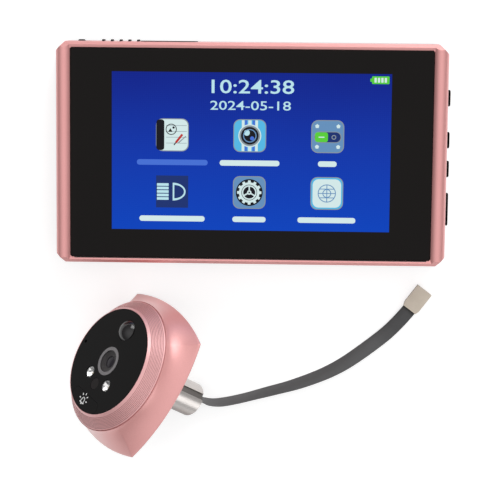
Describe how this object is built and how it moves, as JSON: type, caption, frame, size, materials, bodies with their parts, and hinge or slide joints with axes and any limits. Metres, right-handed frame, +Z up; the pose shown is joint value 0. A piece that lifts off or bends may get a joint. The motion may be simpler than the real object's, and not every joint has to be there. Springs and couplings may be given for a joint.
{
  "type": "peephole door camera set",
  "caption": "Peephole door viewer set: a slim indoor monitor with side keys, and a flared outdoor camera unit with lens, motion sensor dome, bell button, mounting tube and ribbon cable.",
  "frame": {"origin": "centre of the monitor's back face, on the table", "axes": "+Z up out of the table and the screen, +X along the monitor's width towards its side keys, +Y towards its top edge with the speaker slots"},
  "size_m": [0.1346, 0.1387, 0.0451],
  "materials": {
    "rose_paint": "satin rose-gold paint with a fine sparkle",
    "window_black": "polished black window",
    "display": "lit blue display glass",
    "tray_steel": "plain rolled",
    "foam_black": "closed-cell foam",
    "board_green": "solder resist",
    "chip_black": "moulded",
    "screw_steel": "zinc plated",
    "case_black": "fine textured",
    "key_black": "smooth satin",
    "flap_rubber": "moulded",
    "battery_wrap": "shrink film",
    "contact_gold": "plated",
    "socket_metal": "stamped",
    "cream_plastic": "moulded",
    "face_black": "polished",
    "dome_black": "polished",
    "lens_trim": "turned, satin",
    "lens_black": "matt black",
    "lens_clear": "coated front glass",
    "lamp_clear": "clear resin",
    "sensor_dark": "smoked resin",
    "tube_grey": "satin",
    "ribbon_grey": "flexible film"
  },
  "bodies": {
    "monitor": {"front_frame": "rose_paint", "front_window": "window_black", "display_gasket": "foam_black", "display_module": "tray_steel", "display_glass": "display", "main_board": "board_green", "board_chips": "chip_black", "board_screws": "screw_steel", "key_switches": "chip_black", "power_switch": "chip_black", "speaker": "chip_black", "usb_socket": "socket_metal", "card_socket": "socket_metal", "camera_socket": "cream_plastic", "rear_cover": "case_black", "battery": "battery_wrap", "battery_contacts": "contact_gold", "case_screws": "screw_steel"},
    "upper_key": {"upper_key": "key_black"},
    "middle_key": {"middle_key": "key_black"},
    "lower_key": {"lower_key": "key_black"},
    "long_key": {"long_key": "key_black"},
    "power_slider": {"power_slider": "key_black"},
    "port_flap": {"port_flap": "flap_rubber"},
    "battery_door": {"battery_door": "case_black"},
    "camera_unit": {"camera_housing": "rose_paint", "grooved_ring": "rose_paint", "face_window": "face_black", "eye_dome": "dome_black", "motion_sensor": "socket_metal", "lens_ring": "lens_trim", "lens_barrel": "lens_black", "lens_glass": "lens_clear", "image_sensor": "chip_black", "night_lamps": "lamp_clear", "light_sensor": "sensor_dark", "microphone": "foam_black", "bell_switch": "chip_black", "camera_board": "board_green", "ribbon_header": "cream_plastic", "back_plate": "case_black", "unit_screws": "screw_steel", "mounting_tube": "tube_grey", "tube_screws": "screw_steel", "door_pad": "foam_black", "tube_ribbon": "ribbon_grey", "ribbon_cable": "ribbon_grey", "cable_plug": "cream_plastic"},
    "bell_button": {"bell_button": "face_black"}
  },
  "joints": [
    {"name": "upper_key_press", "type": "slide", "parent": "monitor", "child": "upper_key", "axis": [-1, 0, 0], "range_m": [0, 0.0004], "stiffness_N_per_m": 900, "springref_m": -0.0006},
    {"name": "middle_key_press", "type": "slide", "parent": "monitor", "child": "middle_key", "axis": [-1, 0, 0], "range_m": [0, 0.0004], "stiffness_N_per_m": 900, "springref_m": -0.0006},
    {"name": "lower_key_press", "type": "slide", "parent": "monitor", "child": "lower_key", "axis": [-1, 0, 0], "range_m": [0, 0.0004], "stiffness_N_per_m": 900, "springref_m": -0.0006},
    {"name": "long_key_press", "type": "slide", "parent": "monitor", "child": "long_key", "axis": [-1, 0, 0], "range_m": [0, 0.0004], "stiffness_N_per_m": 900, "springref_m": -0.0006},
    {"name": "power_slide", "type": "slide", "parent": "monitor", "child": "power_slider", "axis": [1, 0, 0], "range_m": [0, 0.002]},
    {"name": "port_flap_pull", "type": "slide", "parent": "monitor", "child": "port_flap", "axis": [0, 1, 0], "range_m": [0, 0.003]},
    {"name": "battery_door_slide", "type": "slide", "parent": "monitor", "child": "battery_door", "axis": [0, -1, 0], "range_m": [0, 0.014]},
    {"name": "camera_unit_lift", "type": "slide", "parent": "monitor", "child": "camera_unit", "axis": [0, 0, 1], "range_m": [0, 0.06], "deforming": ["ribbon_cable"]},
    {"name": "bell_button_press", "type": "slide", "parent": "camera_unit", "child": "bell_button", "axis": [0.6667, -0.4463, -0.5968], "range_m": [0, 0.0004], "stiffness_N_per_m": 900, "springref_m": -0.0006}
  ]
}
